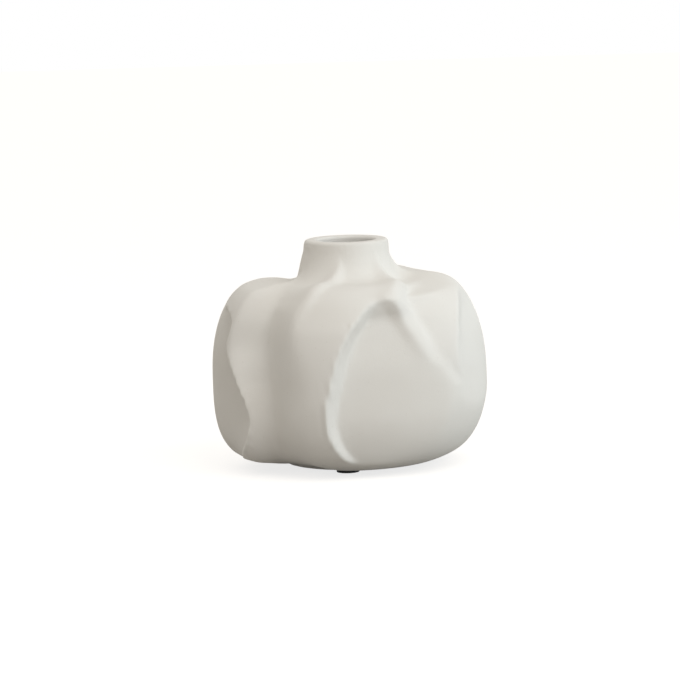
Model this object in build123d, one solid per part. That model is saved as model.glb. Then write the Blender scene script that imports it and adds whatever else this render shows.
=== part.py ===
from build123d import *
import math
import os
import numpy as np

# A slip-cast vase: a hollow ceramic shell with soft hollows pressed into its wall, on four stick-on pads.
# Millimetres, +Z up. The origin is on the mouth's axis, in the plane that the pads stand on.
# Bearings are degrees round that axis from the front (-Y), positive towards the right (+X).

# Stick-on pads
PAD_R = 7.5
PAD_THICK = 2.2
PAD_ROUND = 0.5
PAD_INSET = 0.5
PAD_COUNT = 4
FIRST_PAD_BEARING = -5.5
ADHESIVE_R = 7.0
ADHESIVE_THICK = 0.2

# Turned wall, before its hollows are pressed in
HEIGHT = 150.0
BODY_R = 91.0
BELLY_Z = 62.0
FOOT_R = 39.5
SHOULDER_R = 52.0
SHOULDER_Z = 127.5
NECK_ROOT_R = 50.0
NECK_R = 27.6
NECK_TAPER = 0.16
LIP_ROUND = 2.2
FOOT_FULLNESS = 3.3
SHOULDER_FULLNESS = 2.2
NECK_FULLNESS = 2.3
UNDERSIDE_Z = PAD_THICK + ADHESIVE_THICK
NECK_TOP_Z = HEIGHT - LIP_ROUND

# Inside of the shell
WALL = 6.5
MOUTH_R = 19.0
MOUTH_ROUND = 2.0
THROAT_RISE = 93.0
THROAT_Z = 138.0

# The wall is pressed towards a spine on the axis, between these heights
LOW_SPINE_Z = 40.0
HIGH_SPINE_Z = 95.0

# Sections of the shell: points round a ring, mm between rings, and points of each stretch of the turned
# wall
RING_POINTS = 180
RING_SPACING = 3.4
LINE_POINTS = 200

# Crest lines of the pressed form, as (rise, bearing) points.
# The rise along the wall is -100 at the foot's edge, 0 at the belly and 100 at the lip.
ARCH_EDGE = [(-68, 9), (-64, 3.5), (-58, -2), (-50, -6), (-31, -10), (-17, -10), (3, -7.5), (22, -3),
             (35, 3), (44, 9.5), (50, 18)]
ARCH_LEG = [(-20, 60), (4, 42), (17, 35.5), (33, 29), (42, 26), (51, 22)]
BAY_EDGE = [(-20, 60), (4, 44), (17, 36), (33, 29), (42, 27), (51, 26.5), (60, 31), (71, 39), (80, 43),
            (100, 43)]
SIDE_RIDGE = [(-30, 50), (6, 50.5), (22, 53.5), (37, 60), (48, 72), (55, 86), (67, 98), (83, 106),
              (100, 107)]
VALLEY_LEFT = [(-63, -56), (-30, -52.5), (-16, -53), (5, -57.5), (20, -61), (38, -60), (50, -61),
               (63, -64), (80, -67), (100, -67)]
VALLEY_RIGHT = [(-63, -15), (-50, -18), (-30, -22), (0, -23), (20, -24.5), (32, -25.5), (41, -25),
                (51, -22), (72, -18.5), (88, -12.5), (100, -8)]
LOBE_EDGE = [(-61, -72), (-50, -62), (-42, -55), (-31, -51), (-16, -51), (-6, -54), (5, -58.5), (20, -66),
             (30, -65.5), (34, -67), (38, -76), (39, -84)]
FLUTE_LEFT = [(38, -22), (53, -19), (72, -16), (88, -10), (100, -6)]
FLUTE_RIGHT = [(38, 10), (50, 20), (63, 31), (80, 42), (100, 42)]
ARCH_FADE = [(0, 62)]
CHEEK_FADE = [(0, 92)]
LOBE_FADE = [(0, -92)]
TRIM_LEFT = [(0, -45)]
TRIM_RIGHT = [(0, 125)]
TUCK_LEFT = [(0, -145)]
TUCK_RIGHT = [(0, -30)]
SINK_LEFT = [(0, -165)]
SINK_RIGHT = [(0, -45)]

# Depths of the hollows, and the height of the arch's raised leg, as (rise, mm) points
ARCH_DEPTH = [(-72, 0), (-66, 3), (-58, 7.5), (-47, 11), (-20, 13), (8, 15), (28, 16.5), (38, 14),
              (45, 7), (51, 0)]
BAY_DEPTH = [(-4, 0), (10, 4), (25, 12), (42, 18), (54, 17), (67, 11), (80, 7.5), (90, 3.5), (100, 0)]
CHEEK_DEPTH = [(-32, 0), (0, 4), (17, 6), (37, 6), (50, 0)]
VALLEY_DEPTH = [(-98, 0), (-90, 4.5), (-83, 7), (-66, 11), (-42, 21), (-10, 32), (25, 28), (50, 20),
                (63, 13), (75, 7), (88, 2.5), (100, 0)]
LOBE_DEPTH = [(-65, 0), (-47, 12), (-21, 23), (17, 21), (37, 14), (47, 5), (54, 0)]
FLUTE_DEPTH = [(30, 0), (38, 1.5), (50, 2.5), (58, 3.2), (68, 5), (79, 4.5), (90, 2.5), (100, 0)]
TRIM_DEPTH = [(-100, 0), (-84, 2), (-68, 5), (-50, 5), (-32, 3), (-10, 0)]
TUCK_DEPTH = [(-98, 0), (-89, 4.5), (-79, 7), (-70, 5.5), (-62, 2), (-56, 0)]
SINK_DEPTH = [(46, 0), (54, 1.5), (62, 6.5), (70, 10), (76, 10.5), (81, 8.5), (86, 4.5), (91, 1.5), (96, 0)]
LEG_HEIGHT = [(6, 0), (17, 1), (25, 1.6), (35, 2.2), (45, 3), (50, 2), (56, 0)]
LEG_WIDTH = 5.0
LEG_BLEND = 1.5
END_FADE = 4.0
BACK_BAY_SHARE = 0.3


def quarter(turn, fullness):
    """Shares of a rounded corner's two legs at a share of its turn; a fullness of 2 is round."""
    angle = turn * math.pi / 2
    return math.sin(angle) ** (2 / fullness), math.cos(angle) ** (2 / fullness)


def wall_line():
    """Close points up the turned wall, from the foot's edge to the top of the neck.

    Each has a radius, a height, the outward and upward shares of the way it faces, a rise and its mm per
    rise.
    """
    points = []
    for turn in np.linspace(0, 1, LINE_POINTS, endpoint=False):
        out, down = quarter(turn, FOOT_FULLNESS)
        points.append((FOOT_R + (BODY_R - FOOT_R) * out, BELLY_Z - (BELLY_Z - UNDERSIDE_Z) * down))
    for turn in np.linspace(0, 1, LINE_POINTS):
        up, out = quarter(turn, SHOULDER_FULLNESS)
        points.append((SHOULDER_R + (BODY_R - SHOULDER_R) * out, BELLY_Z + (SHOULDER_Z - BELLY_Z) * up))
    flare = NECK_ROOT_R - NECK_R - NECK_TAPER * (NECK_TOP_Z - SHOULDER_Z)
    for turn in np.linspace(0, 1, LINE_POINTS):
        inward, down = quarter(turn, NECK_FULLNESS)
        drop = (NECK_TOP_Z - SHOULDER_Z) * down
        points.append((NECK_R + NECK_TAPER * drop + flare * (1 - inward), NECK_TOP_Z - drop))
    radius, height = np.array(points).T
    length = length_along(radius, height)
    belly = length[LINE_POINTS]
    mm_per_rise = np.where(length < belly, belly, length[-1] - belly) / 100
    rise = (length - belly) / mm_per_rise
    facing_out, facing_up = np.gradient(height, length), -np.gradient(radius, length)
    return np.array([radius, height, facing_out, facing_up, rise, mm_per_rise])


def length_along(radius, height):
    """Length of a line of points, from its start to each of them."""
    return np.concatenate([[0], np.cumsum(np.hypot(np.diff(radius), np.diff(height)))])


def along(points, rise):
    """Value at a rise on the smooth curve through (rise, value) points, straight past its ends."""
    if len(points) == 1:
        return points[0][1]
    x, y = np.array(points, float).T
    slope = np.diff(y) / np.diff(x)
    lean = np.concatenate([slope[:1], (slope[1:] + slope[:-1]) / 2, slope[-1:]])
    i = int(np.clip(np.searchsorted(x, rise) - 1, 0, len(x) - 2))
    step = x[i + 1] - x[i]
    t = (np.clip(rise, x[0], x[-1]) - x[i]) / step
    value = y[i] * (1 + 2 * t) * (1 - t) ** 2 + y[i + 1] * t * t * (3 - 2 * t)
    value += step * (lean[i] * t * (1 - t) ** 2 - lean[i + 1] * t * t * (1 - t))
    return value + min(rise - x[0], 0) * slope[0] + max(rise - x[-1], 0) * slope[-1]


def level(points, rise):
    """Value at a rise on the same curve, kept level past its first and last points."""
    return along(points, min(max(rise, points[0][0]), points[-1][0]))


def ramp(distance, soft):
    """The distance where it is positive and 0 where it is negative, rounded between -soft and soft."""
    rounded = (distance + soft) ** 2 / (4 * soft)
    return np.where(distance > soft, distance, np.where(distance < -soft, 0, rounded))


def least(depths, crisp):
    """Smallest of some depths; the turn where two of them meet is tighter the crisper it is."""
    return sum(np.maximum(depth, 1e-6) ** -crisp for depth in depths) ** (-1 / crisp)


def most(*depths):
    """Largest of some depths, with a rounded turn where two of them meet."""
    return sum(np.maximum(depth, 0) ** 3.0 for depth in depths) ** (1 / 3)


def turn_between(bearing, start):
    """Turn from one bearing to another, from -180 to 180."""
    return (bearing - start + 180) % 360 - 180


class Ring:
    """One ring of the wall: bearings round it, its rise, its radius, and the wall's mm per rise."""

    def __init__(self, bearing, rise, radius, mm_per_rise):
        self.bearing = bearing
        self.rise = rise
        self.radius = radius
        self.mm_per_rise = mm_per_rise

    def mirrored(self):
        """The same ring with front and back changed over."""
        return Ring(180 - self.bearing, self.rise, self.radius, self.mm_per_rise)

    def right_of(self, line):
        """Distance to the right of a crest line, square to it."""
        lean = along(line, self.rise + 0.5) - along(line, self.rise - 0.5)
        lean = math.radians(lean) * self.radius / self.mm_per_rise
        off = turn_between(self.bearing, along(line, self.rise))
        return np.radians(off) * self.radius / math.hypot(1, lean)

    def hollow(self, left, right, slopes, softs, depth, crisp=5.0, middle=None, spread=None):
        """Depth of a hollow between two crest lines; one with a middle fades out a spread away from it."""
        left_bank = slopes[0] * ramp(self.right_of(left), level(softs[0], self.rise))
        right_bank = slopes[1] * ramp(-self.right_of(right), level(softs[1], self.rise))
        floor = np.full(len(self.bearing), level(depth, self.rise))
        if middle is not None:
            floor *= ramp(1 - (turn_between(self.bearing, middle) / spread) ** 2, 0.25)
        return least((left_bank, right_bank, floor), crisp)

    def arch(self):
        """Large arch-shaped hollow, steep at its left edge and open to the right."""
        softs = [(-66, 12), (-58, 5), (-47, 2.6), (25, 2.6), (38, 4), (50, 7)], [(0, 14)]
        return self.hollow(ARCH_EDGE, ARCH_FADE, (2.4, 0.5), softs, ARCH_DEPTH, middle=8, spread=40)

    def bay(self):
        """Bay that runs from the neck over the shoulder, between the arch's leg and the side ridge."""
        left_soft = [(0, 36), (12, 24), (22, 11), (34, 6), (50, 8), (60, 9), (85, 4)]
        right_soft = [(0, 20), (12, 8), (25, 3), (58, 4)]
        return self.hollow(BAY_EDGE, SIDE_RIDGE, (0.85, 0.55), (left_soft, right_soft), BAY_DEPTH)

    def cheek(self):
        """Shallow cheek to the right of the side ridge."""
        softs = [(0, 20), (12, 8), (25, 3)], [(0, 12)]
        return self.hollow(SIDE_RIDGE, CHEEK_FADE, (0.5, 0.4), softs, CHEEK_DEPTH, middle=71, spread=20)

    def valley(self):
        """Deep valley between the left lobe and the front lobe, from the neck down to the foot."""
        left_soft = [(-63, 8), (-40, 4.5), (50, 5), (98, 6)]
        right_soft = [(-63, 16), (0, 18), (14, 14), (28, 8), (38, 4), (70, 4), (98, 8)]
        softs = left_soft, right_soft
        return self.hollow(VALLEY_LEFT, VALLEY_RIGHT, (1.6, 0.62), softs, VALLEY_DEPTH, crisp=3.0)

    def lobe_hollow(self):
        """Hollow behind the left lobe's wavy edge."""
        softs = [(0, 8)], [(0, 3.2)]
        return self.hollow(LOBE_FADE, LOBE_EDGE, (0.6, 2.4), softs, LOBE_DEPTH, middle=-64, spread=24)

    def flute(self):
        """Shallow flute down the front of the neck."""
        softs = [(42, 4), (70, 4), (98, 8)], [(50, 5), (98, 6)]
        return self.hollow(FLUTE_LEFT, FLUTE_RIGHT, (0.7, 0.45), softs, FLUTE_DEPTH)

    def trim(self):
        """The wall is drawn in low down at the front and the right."""
        return self.hollow(TRIM_LEFT, TRIM_RIGHT, (0.2, 0.2), ([(0, 10)], [(0, 10)]), TRIM_DEPTH)

    def tuck(self):
        """The left lobe is drawn in a little at the foot."""
        return self.hollow(TUCK_LEFT, TUCK_RIGHT, (0.2, 0.2), ([(0, 10)], [(0, 10)]), TUCK_DEPTH)

    def sink(self):
        """The left shoulder is a little lower than the right one."""
        return self.hollow(SINK_LEFT, SINK_RIGHT, (0.3, 0.3), ([(0, 10)], [(0, 10)]), SINK_DEPTH)

    def leg(self):
        """Height of the raised leg that parts the arch from the bay."""
        return level(LEG_HEIGHT, self.rise) * np.exp(-(self.right_of(ARCH_LEG) / LEG_WIDTH) ** 2)

    def side_hollows(self, bay_share):
        """Depths of the hollows of one side, front or back."""
        bay = bay_share * self.bay()
        return self.arch(), bay, self.cheek(), self.valley(), self.lobe_hollow(), self.flute()

    def depth(self):
        """How far the wall is pressed in; its two ends stay round and flat."""
        back = self.mirrored()
        drawn = self.trim(), self.tuck(), self.sink()
        deep = most(*drawn, *self.side_hollows(1), *back.side_hollows(BACK_BAY_SHARE))
        pressed = ramp(deep - self.leg() - back.leg(), LEG_BLEND)
        return pressed * min((100 - abs(self.rise)) / END_FADE, 1)


def wall_rings(inset, top_rise):
    """Evenly spaced rings of the pressed wall up to a rise, or of the wall an inset inside it."""
    line = wall_line()
    line = line[:, line[4] < top_rise + 1e-6]
    spine, reach, square = wall_rays(line)
    share = 1 - inset / square / reach
    run = length_along(line[0] * share, spine + (line[1] - spine) * share)
    steps = np.linspace(0, run[-1], round(run[-1] / RING_SPACING) + 1)
    stations = np.array([np.interp(steps, run, row) for row in line])
    return [wall_ring(station, inset) for station in stations.T]


def wall_rays(line):
    """Where on the spine each point's ray starts, its length to the point, and how squarely they meet."""
    radius, height, facing_out, facing_up = line[:4]
    spine = np.clip(height, LOW_SPINE_Z, HIGH_SPINE_Z)
    reach = np.hypot(radius, height - spine)
    return spine, reach, (radius * facing_out + (height - spine) * facing_up) / reach


def wall_ring(station, inset):
    """Points of one ring of the pressed wall, or of the ring that lies an inset inside it."""
    radius, height, _, _, rise, mm_per_rise = station
    bearing = np.arange(RING_POINTS) * 360 / RING_POINTS
    spine, reach, square = wall_rays(station)
    share = 1 - (Ring(bearing, rise, radius, mm_per_rise).depth() + inset / square) / reach
    x = radius * share * np.sin(np.radians(bearing))
    y = -radius * share * np.cos(np.radians(bearing))
    z = spine + (height - spine) * share
    return [Vector(*point) for point in zip(x, y, z)]


def mouth_ring(radius, height):
    """Points of a round ring about the mouth's axis."""
    angles = [2 * math.pi * i / RING_POINTS for i in range(RING_POINTS)]
    return [Vector(radius * math.sin(angle), -radius * math.cos(angle), height) for angle in angles]


def smooth_loft(rings):
    """Solid whose side passes smoothly through rings of points; its first and last rings are flat."""
    wires = []
    for points in rings:
        shares = [i / len(points) for i in range(len(points) + 1)]
        wires.append(Wire([Edge.make_spline(points, periodic=True, parameters=shares)]))
    return Solid.make_loft(wires)


def outside():
    """Pressed wall up to the lip, with its flat underside."""
    return smooth_loft(wall_rings(0, 100)).faces().sort_by(Axis.Z)[:2]


def inside():
    """Inner wall, an even thickness inside the outer one, with its floor; it ends at the throat."""
    rings = wall_rings(WALL, THROAT_RISE)
    last, throat = rings[-1], mouth_ring(MOUTH_R, THROAT_Z)
    steps = round((THROAT_Z - last[0].Z) / RING_SPACING)
    for step in range(1, steps + 1):
        rings.append([low + (high - low) * (step / steps) for low, high in zip(last, throat)])
    return smooth_loft(rings).faces().sort_by(Axis.Z)[:2]


def mouth():
    """Straight throat, eased at the top, with the flat of the lip and its rounded outer edge."""
    throat = Line((0, -MOUTH_R, THROAT_Z), (0, -MOUTH_R, HEIGHT - MOUTH_ROUND))
    easing = TangentArc(throat @ 1, (0, -MOUTH_R - MOUTH_ROUND, HEIGHT), tangent=throat % 1)
    flat = Line(easing @ 1, (0, LIP_ROUND - NECK_R, HEIGHT))
    lip = TangentArc(flat @ 1, (0, -NECK_R, NECK_TOP_Z), tangent=flat % 1)
    return [Face.revolve(edge, 360, Axis.Z) for edge in (throat, easing, flat, lip)]


def vase_body():
    """Ceramic shell: pressed wall, flat underside, lip, mouth and inside, closed into one solid."""
    return Solid(Shell([*outside(), *inside(), *mouth()]))


def pad_place(index):
    """Place of a pad's centre under the flat of the foot, which it stays inside of."""
    circle_r = FOOT_R - PAD_R - PAD_INSET
    angle = math.radians(FIRST_PAD_BEARING + 360 / PAD_COUNT * index)
    return Pos(circle_r * math.sin(angle), -circle_r * math.cos(angle), 0)


def foot_pad():
    """Round pad with its lower edge eased."""
    pad = Cylinder(PAD_R, PAD_THICK, align=(Align.CENTER, Align.CENTER, Align.MIN))
    return fillet(pad.edges().filter_by(GeomType.CIRCLE).sort_by(Axis.Z)[:1], PAD_ROUND)


def pad_adhesive():
    """Disc of double-sided film between a pad and the underside."""
    disc = Cylinder(ADHESIVE_R, ADHESIVE_THICK, align=(Align.CENTER, Align.CENTER, Align.MIN))
    return Pos(0, 0, PAD_THICK) * disc


os.makedirs("parts", exist_ok=True)
export_step(vase_body(), "parts/vase_body.step")
for index, side in enumerate(("front", "right", "back", "left")):
    export_step(pad_place(index) * foot_pad(), f"parts/foot_pad_{side}.step")
    export_step(pad_place(index) * pad_adhesive(), f"parts/pad_adhesive_{side}.step")
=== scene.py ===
import math

import bpy
from mathutils import Matrix, Vector

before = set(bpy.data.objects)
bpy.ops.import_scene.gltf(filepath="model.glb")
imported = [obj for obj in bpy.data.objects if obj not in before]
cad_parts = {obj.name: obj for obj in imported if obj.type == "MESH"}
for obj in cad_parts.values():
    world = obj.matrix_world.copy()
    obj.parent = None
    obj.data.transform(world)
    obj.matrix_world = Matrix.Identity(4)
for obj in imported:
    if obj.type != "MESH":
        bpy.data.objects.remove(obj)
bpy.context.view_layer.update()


# Vase body: one slip-cast shell of pale stoneware, pressed while soft and fired without glaze.
# Its skin is matt and slightly chalky, with a fine grain, faint clouds of tone and a few tiny
# specks of iron from the clay.

def place(tree, kind, x, y, **values):
    """A node at a place in the tree, with its properties and the sockets of these names set."""
    node = tree.nodes.new(kind)
    node.location = (x, y)
    for name, value in values.items():
        if hasattr(node, name):
            setattr(node, name, value)
        else:
            node.inputs[name.replace("_", " ")].default_value = value
    return node


def add_socket(tree, name, direction, kind, value=None):
    """A named socket of a node group."""
    socket = tree.interface.new_socket(name, in_out=direction, socket_type=kind)
    if value is not None:
        socket.default_value = value


def make_fired_grain():
    """Group for a fired or moulded skin: a fine height, broad clouds and sparse specks."""
    tree = bpy.data.node_groups.new("fired_grain", "ShaderNodeTree")
    add_socket(tree, "Grain Scale", "INPUT", "NodeSocketFloat", 900.0)
    add_socket(tree, "Cloud Scale", "INPUT", "NodeSocketFloat", 14.0)
    add_socket(tree, "Speck Scale", "INPUT", "NodeSocketFloat", 420.0)
    add_socket(tree, "Height", "OUTPUT", "NodeSocketFloat")
    add_socket(tree, "Clouds", "OUTPUT", "NodeSocketFloat")
    add_socket(tree, "Specks", "OUTPUT", "NodeSocketFloat")
    link = tree.links.new
    given = place(tree, "NodeGroupInput", -800, 0)
    spot = place(tree, "ShaderNodeTexCoord", -800, 300)
    grain = place(tree, "ShaderNodeTexNoise", -500, 300, Detail=6.0, Roughness=0.65)
    clouds = place(tree, "ShaderNodeTexNoise", -500, 0, Detail=3.0, Roughness=0.5)
    cells = place(tree, "ShaderNodeTexVoronoi", -500, -300, Randomness=1.0)
    near = place(tree, "ShaderNodeMapRange", -250, -300, From_Min=0.10, From_Max=0.20, To_Min=1.0,
                 To_Max=0.0)
    some = place(tree, "ShaderNodeMapRange", -250, -600, From_Min=0.80, From_Max=0.86)
    pick = place(tree, "ShaderNodeSeparateColor", -400, -600)
    specks = place(tree, "ShaderNodeMath", 0, -400, operation="MULTIPLY")
    given_out = place(tree, "NodeGroupOutput", 250, 0)
    for texture, scale in ((grain, "Grain Scale"), (clouds, "Cloud Scale"), (cells, "Speck Scale")):
        link(spot.outputs["Object"], texture.inputs["Vector"])
        link(given.outputs[scale], texture.inputs["Scale"])
    link(cells.outputs["Distance"], near.inputs["Value"])
    link(cells.outputs["Color"], pick.inputs["Color"])
    link(pick.outputs["Red"], some.inputs["Value"])
    link(near.outputs["Result"], specks.inputs[0])
    link(some.outputs["Result"], specks.inputs[1])
    link(grain.outputs["Fac"], given_out.inputs["Height"])
    link(clouds.outputs["Fac"], given_out.inputs["Clouds"])
    link(specks.outputs["Value"], given_out.inputs["Specks"])
    return tree


def grained_material(name, tones, speck_tone, scales, roughness, bump_m, specular):
    """Matt material with two tones in clouds, specks of a third, and a fine raised grain."""
    material = bpy.data.materials.new(name)
    material.use_nodes = True
    tree = material.node_tree
    link = tree.links.new
    shader = tree.nodes["Principled BSDF"]
    shader.inputs["Specular IOR Level"].default_value = specular
    skin = place(tree, "ShaderNodeGroup", -900, 0, node_tree=fired_grain)
    for socket, scale in zip(("Grain Scale", "Cloud Scale", "Speck Scale"), scales):
        skin.inputs[socket].default_value = scale
    spread = place(tree, "ShaderNodeMapRange", -700, 150, From_Min=0.35, From_Max=0.65)
    cloudy = place(tree, "ShaderNodeMix", -500, 200, data_type="RGBA")
    specked = place(tree, "ShaderNodeMix", -250, 200, data_type="RGBA")
    dull = place(tree, "ShaderNodeMapRange", -300, -100, To_Min=roughness[0], To_Max=roughness[1])
    bump = place(tree, "ShaderNodeBump", -300, -350, Strength=0.6, Distance=bump_m)
    cloudy.inputs["A"].default_value = (*tones[0], 1)
    cloudy.inputs["B"].default_value = (*tones[1], 1)
    specked.inputs["B"].default_value = (*speck_tone, 1)
    link(skin.outputs["Clouds"], spread.inputs["Value"])
    link(spread.outputs["Result"], cloudy.inputs["Factor"])
    link(cloudy.outputs["Result"], specked.inputs["A"])
    link(skin.outputs["Specks"], specked.inputs["Factor"])
    link(specked.outputs["Result"], shader.inputs["Base Color"])
    link(skin.outputs["Height"], dull.inputs["Value"])
    link(dull.outputs["Result"], shader.inputs["Roughness"])
    link(skin.outputs["Height"], bump.inputs["Height"])
    link(bump.outputs["Normal"], shader.inputs["Normal"])
    return material


def finish_node(node, material):
    """Gives a CAD node its finish."""
    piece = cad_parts[node]
    piece.data.materials.clear()
    piece.data.materials.append(material)


fired_grain = make_fired_grain()
bisque = grained_material(
    "bisque",
    tones=((0.80, 0.785, 0.75), (0.775, 0.755, 0.715)),
    speck_tone=(0.745, 0.72, 0.675),
    scales=(1100.0, 16.0, 420.0),
    roughness=(0.68, 0.9),
    bump_m=0.00012,
    specular=0.3,
)
finish_node("vase_body", bisque)


# Foot pads: four round pads die-cut from dark closed-cell rubber, stuck under the foot so that the
# vase doesn't scratch a table. Their skin is dull and open-pored.

pad_rubber = grained_material(
    "pad_rubber",
    tones=((0.060, 0.060, 0.060), (0.048, 0.048, 0.049)),
    speck_tone=(0.020, 0.020, 0.020),
    scales=(2600.0, 120.0, 1500.0),
    roughness=(0.75, 0.95),
    bump_m=0.00015,
    specular=0.25,
)
for side in ("front", "right", "back", "left"):
    finish_node(f"foot_pad_{side}", pad_rubber)


# Pad adhesive: a thin disc of pale double-sided film between each pad and the bare clay. Only its
# edge shows, as a fine light line.

film = grained_material(
    "adhesive_film",
    tones=((0.70, 0.70, 0.67), (0.64, 0.64, 0.60)),
    speck_tone=(0.58, 0.57, 0.52),
    scales=(1800.0, 90.0, 900.0),
    roughness=(0.35, 0.55),
    bump_m=0.00003,
    specular=0.5,
)
for side in ("front", "right", "back", "left"):
    finish_node(f"pad_adhesive_{side}", film)


# Studio: a white table top that keeps a soft shadow, a white room, a large soft lamp in front to the
# right, a cooler one low at the right side and a weak one overhead.

FLOOR_HALF_M = 4.0
FLOOR_TONE = (0.42, 0.40, 0.375, 1)
FLOOR_WHITE = 0.76
ROOM_LIGHT = 0.63
LAMP_AIM = Vector((0, 0, 0.08))
LAMP_DISTANCE_M = 1.6


def background_rays(tree):
    """Value that is 1 for the rays that show the background: camera, glossy and transmission rays."""
    path = place(tree, "ShaderNodeLightPath", -900, 300)
    seen = path.outputs["Is Camera Ray"]
    for name in ("Is Glossy Ray", "Is Transmission Ray"):
        either = place(tree, "ShaderNodeMath", -650, 300, operation="MAXIMUM")
        tree.links.new(seen, either.inputs[0])
        tree.links.new(path.outputs[name], either.inputs[1])
        seen = either.outputs["Value"]
    return seen


floor_mesh = bpy.data.meshes.new("table_top")
corners = [(-FLOOR_HALF_M, -FLOOR_HALF_M), (FLOOR_HALF_M, -FLOOR_HALF_M),
           (FLOOR_HALF_M, FLOOR_HALF_M), (-FLOOR_HALF_M, FLOOR_HALF_M)]
floor_mesh.from_pydata([(x, y, 0) for x, y in corners], [], [(0, 1, 2, 3)])
floor = bpy.data.objects.new("table_top", floor_mesh)
bpy.context.scene.collection.objects.link(floor)

floor_paint = bpy.data.materials.new("table_white")
floor_paint.use_nodes = True
tree = floor_paint.node_tree
tree.nodes.remove(tree.nodes["Principled BSDF"])
matt = place(tree, "ShaderNodeBsdfDiffuse", -400, 0, Color=FLOOR_TONE)
glow = place(tree, "ShaderNodeEmission", -400, -200, Strength=FLOOR_WHITE)
none = place(tree, "ShaderNodeEmission", -400, -400, Strength=0.0)
seen_glow = place(tree, "ShaderNodeMixShader", -200, -250)
both = place(tree, "ShaderNodeAddShader", 0, 0)
tree.links.new(background_rays(tree), seen_glow.inputs["Fac"])
tree.links.new(none.outputs["Emission"], seen_glow.inputs[1])
tree.links.new(glow.outputs["Emission"], seen_glow.inputs[2])
tree.links.new(matt.outputs["BSDF"], both.inputs[0])
tree.links.new(seen_glow.outputs["Shader"], both.inputs[1])
tree.links.new(both.outputs["Shader"], tree.nodes["Material Output"].inputs["Surface"])
floor_mesh.materials.append(floor_paint)

room = bpy.data.worlds.new("white_room")
bpy.context.scene.world = room
room.use_nodes = True
tree = room.node_tree
dim = tree.nodes["Background"]
dim.inputs["Color"].default_value = (1.0, 0.96, 0.895, 1)
dim.inputs["Strength"].default_value = ROOM_LIGHT
white = place(tree, "ShaderNodeBackground", -300, -200, Color=(1, 1, 1, 1), Strength=1.0)
chosen = place(tree, "ShaderNodeMixShader", 0, 0)
tree.links.new(background_rays(tree), chosen.inputs["Fac"])
tree.links.new(dim.outputs["Background"], chosen.inputs[1])
tree.links.new(white.outputs["Background"], chosen.inputs[2])
tree.links.new(chosen.outputs["Shader"], tree.nodes["World Output"].inputs["Surface"])


def hang_lamp(name, bearing, elevation, width, power, tint):
    """Round soft lamp, aimed at the vase from a bearing to the right of the front and an elevation."""
    lamp = bpy.data.lights.new(name, "AREA")
    lamp.shape = "DISK"
    lamp.size = width
    lamp.energy = power
    lamp.color = tint
    holder = bpy.data.objects.new(name, lamp)
    bpy.context.scene.collection.objects.link(holder)
    turn, tilt = math.radians(bearing), math.radians(elevation)
    away = Vector((math.sin(turn) * math.cos(tilt), -math.cos(turn) * math.cos(tilt), math.sin(tilt)))
    holder.location = LAMP_AIM + away * LAMP_DISTANCE_M
    holder.rotation_euler = away.to_track_quat("Z", "Y").to_euler()


hang_lamp("key_lamp", bearing=30, elevation=40, width=1.2, power=7.4, tint=(0.98, 0.99, 1.0))
hang_lamp("side_lamp", bearing=78, elevation=8, width=0.7, power=7.2, tint=(0.74, 0.90, 1.0))
hang_lamp("top_lamp", bearing=30, elevation=75, width=1.6, power=1.0, tint=(1.0, 1.0, 1.0))


# Camera: a long lens from the front, a little above the vase and turned a little about its own axis.

CAMERA_ELEVATION = math.radians(7.3)
CAMERA_DISTANCE_M = 3.0
CAMERA_ROLL = math.radians(1.65)
CAMERA_AIM = Vector((-0.00587, 0, 0.083))
IMAGE_PX = 680
M_PER_PX = 0.6593e-3
SENSOR_MM = 36.0

lens = bpy.data.cameras.new("camera")
lens.sensor_width = SENSOR_MM
lens.lens = SENSOR_MM * CAMERA_DISTANCE_M / (IMAGE_PX * M_PER_PX)
lens.clip_end = 20
camera = bpy.data.objects.new("camera", lens)
bpy.context.scene.collection.objects.link(camera)
back = Vector((0, -math.cos(CAMERA_ELEVATION), math.sin(CAMERA_ELEVATION)))
facing = (-back).to_track_quat("-Z", "Y").to_matrix().to_4x4()
camera.matrix_world = (Matrix.Translation(CAMERA_AIM + back * CAMERA_DISTANCE_M) @ facing
                       @ Matrix.Rotation(-CAMERA_ROLL, 4, "Z"))
bpy.context.scene.camera = camera
bpy.context.scene.view_settings.view_transform = "Standard"
